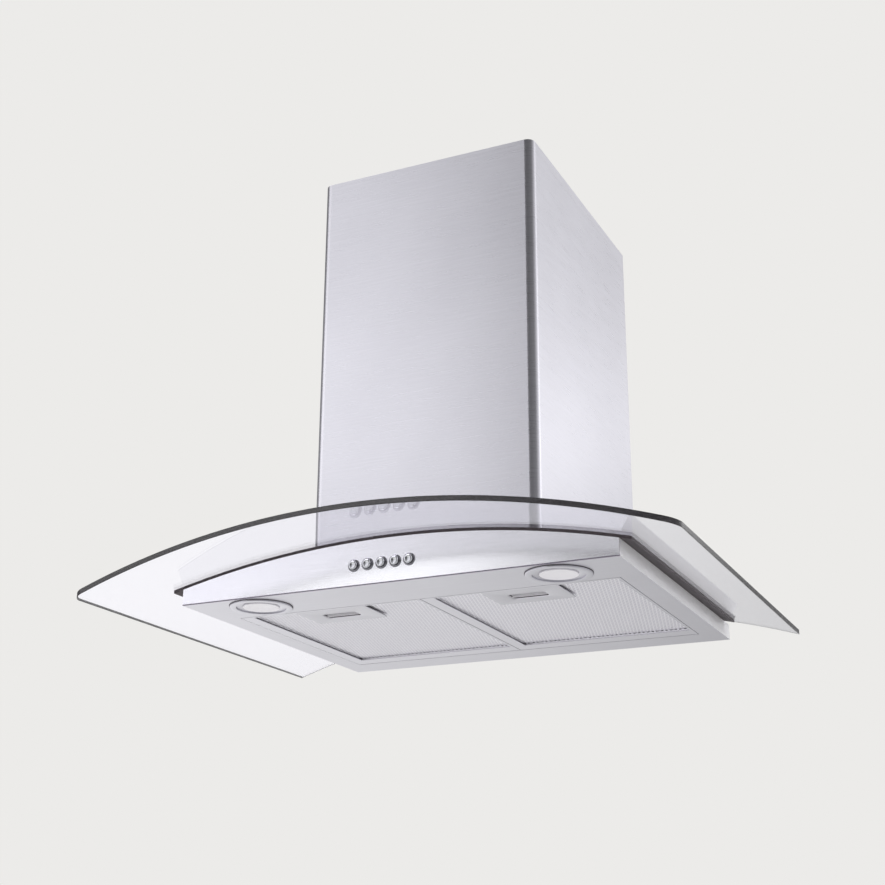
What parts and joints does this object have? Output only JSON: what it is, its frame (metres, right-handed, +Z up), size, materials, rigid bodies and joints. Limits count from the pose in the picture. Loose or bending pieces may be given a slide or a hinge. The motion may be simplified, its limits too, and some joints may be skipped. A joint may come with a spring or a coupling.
{
  "type": "range hood",
  "caption": "Wall range hood with a curved glass canopy, a slim steel body with lamps, grease filters and push buttons, and a tall telescoping steel chimney over its blower.",
  "frame": {"origin": "on the wall plane, at the middle of the body's width and level with its flat underside", "axes": "+X to the right of someone facing the hood, +Y back into the wall, +Z up"},
  "size_m": [0.6, 0.454, 0.4811],
  "materials": {
    "stainless_sheet": "brushed, horizontal grain",
    "galvanised_sheet": "plain, slightly dull",
    "clear_glass": "clear, greenish at its edges",
    "black_strip": "matte",
    "bright_caps": "polished",
    "dark_rings": "glossy",
    "switch_plastic": "moulded",
    "lamp_rings": "satin",
    "frosted_lens": "frosted",
    "lamp_cans": "spun",
    "lamp_boards": "solder mask",
    "filter_metal": "satin",
    "latch_metal": "satin",
    "spring_steel": "drawn wire",
    "fastener_zinc": "zinc plated",
    "nylon": "moulded",
    "blower_plastic": "moulded",
    "motor_enamel": "satin",
    "bearing_brass": "sintered",
    "terminal_plastic": "moulded",
    "capacitor_case": "glossy"
  },
  "bodies": {
    "hood": {"canopy_shell": "stainless_sheet", "fascia": "stainless_sheet", "top_plate": "galvanised_sheet", "glass_seat": "black_strip", "glass_canopy": "clear_glass", "glass_bushes": "nylon", "glass_screws": "fastener_zinc", "glass_nuts": "fastener_zinc", "button_bezels": "dark_rings", "switch_housing": "switch_plastic", "switch_screws": "fastener_zinc", "lamp_bezel_left": "lamp_rings", "lamp_bezel_right": "lamp_rings", "lamp_lens_left": "frosted_lens", "lamp_lens_right": "frosted_lens", "lamp_housing_left": "lamp_cans", "lamp_housing_right": "lamp_cans", "led_boards": "lamp_boards", "lower_chimney": "stainless_sheet", "chimney_screws": "fastener_zinc", "blower_box": "galvanised_sheet", "scroll_housing": "blower_plastic", "scroll_screws": "fastener_zinc", "motor_body": "motor_enamel", "shaft_bushes": "bearing_brass", "motor_bracket": "galvanised_sheet", "motor_screws": "fastener_zinc", "duct_collar": "blower_plastic", "collar_screws": "fastener_zinc", "damper_pin": "spring_steel", "terminal_box": "terminal_plastic", "terminal_lid": "terminal_plastic", "cable_gland": "terminal_plastic", "capacitor": "capacitor_case", "capacitor_clip": "galvanised_sheet"},
    "button_light": {"button_light": "bright_caps"},
    "button_off": {"button_off": "bright_caps"},
    "button_low": {"button_low": "bright_caps"},
    "button_medium": {"button_medium": "bright_caps"},
    "button_high": {"button_high": "bright_caps"},
    "filter_left": {"filter_frame_left": "filter_metal", "filter_net_left": "filter_metal", "filter_core_left": "filter_metal", "latch_plate_left": "latch_metal", "latch_spring_left": "spring_steel"},
    "latch_left": {"latch_handle_left": "latch_metal"},
    "flap_left": {"damper_flap_left": "blower_plastic"},
    "filter_right": {"filter_frame_right": "filter_metal", "filter_net_right": "filter_metal", "filter_core_right": "filter_metal", "latch_plate_right": "latch_metal", "latch_spring_right": "spring_steel"},
    "latch_right": {"latch_handle_right": "latch_metal"},
    "flap_right": {"damper_flap_right": "blower_plastic"},
    "impeller": {"impeller": "blower_plastic", "impeller_blades": "blower_plastic", "motor_shaft": "spring_steel"},
    "upper_chimney": {"upper_chimney": "stainless_sheet", "chimney_bracket": "galvanised_sheet", "bracket_screws": "fastener_zinc"}
  },
  "joints": [
    {"name": "button_light_press", "type": "slide", "parent": "hood", "child": "button_light", "axis": [0, 1, 0], "range_m": [0, 0.003], "stiffness_N_per_m": 300, "springref_m": -0.002},
    {"name": "button_off_press", "type": "slide", "parent": "hood", "child": "button_off", "axis": [0, 1, 0], "range_m": [0, 0.003], "stiffness_N_per_m": 300, "springref_m": -0.002},
    {"name": "button_low_press", "type": "slide", "parent": "hood", "child": "button_low", "axis": [0, 1, 0], "range_m": [0, 0.003], "stiffness_N_per_m": 300, "springref_m": -0.002},
    {"name": "button_medium_press", "type": "slide", "parent": "hood", "child": "button_medium", "axis": [0, 1, 0], "range_m": [0, 0.003], "stiffness_N_per_m": 300, "springref_m": -0.002},
    {"name": "button_high_press", "type": "slide", "parent": "hood", "child": "button_high", "axis": [0, 1, 0], "range_m": [0, 0.003], "stiffness_N_per_m": 300, "springref_m": -0.002},
    {"name": "filter_left_swing", "type": "hinge", "parent": "hood", "child": "filter_left", "pos_m": [-0.1009, -0.039, 0.0012], "axis": [1, 0, 0], "range_deg": [0, 75]},
    {"name": "latch_left_pull", "type": "slide", "parent": "filter_left", "child": "latch_left", "axis": [0, 1, 0], "range_m": [0, 0.005], "stiffness_N_per_m": 400, "springref_m": -0.003, "deforming": ["latch_spring_left"]},
    {"name": "filter_right_swing", "type": "hinge", "parent": "hood", "child": "filter_right", "pos_m": [0.1009, -0.039, 0.0012], "axis": [1, 0, 0], "range_deg": [0, 75]},
    {"name": "latch_right_pull", "type": "slide", "parent": "filter_right", "child": "latch_right", "axis": [0, 1, 0], "range_m": [0, 0.005], "stiffness_N_per_m": 400, "springref_m": -0.003, "deforming": ["latch_spring_right"]},
    {"name": "impeller_spin", "type": "hinge", "parent": "hood", "child": "impeller", "pos_m": [0, -0.124, 0.15], "axis": [1, 0, 0], "continuous": true},
    {"name": "flap_left_swing", "type": "hinge", "parent": "hood", "child": "flap_left", "pos_m": [0, -0.147, 0.29], "axis": [0, 1, 0], "range_deg": [0, 75]},
    {"name": "flap_right_swing", "type": "hinge", "parent": "hood", "child": "flap_right", "pos_m": [0, -0.147, 0.29], "axis": [0, -1, 0], "range_deg": [0, 75]},
    {"name": "upper_chimney_lift", "type": "slide", "parent": "hood", "child": "upper_chimney", "axis": [0, 0, 1], "range_m": [0, 0.26]}
  ]
}
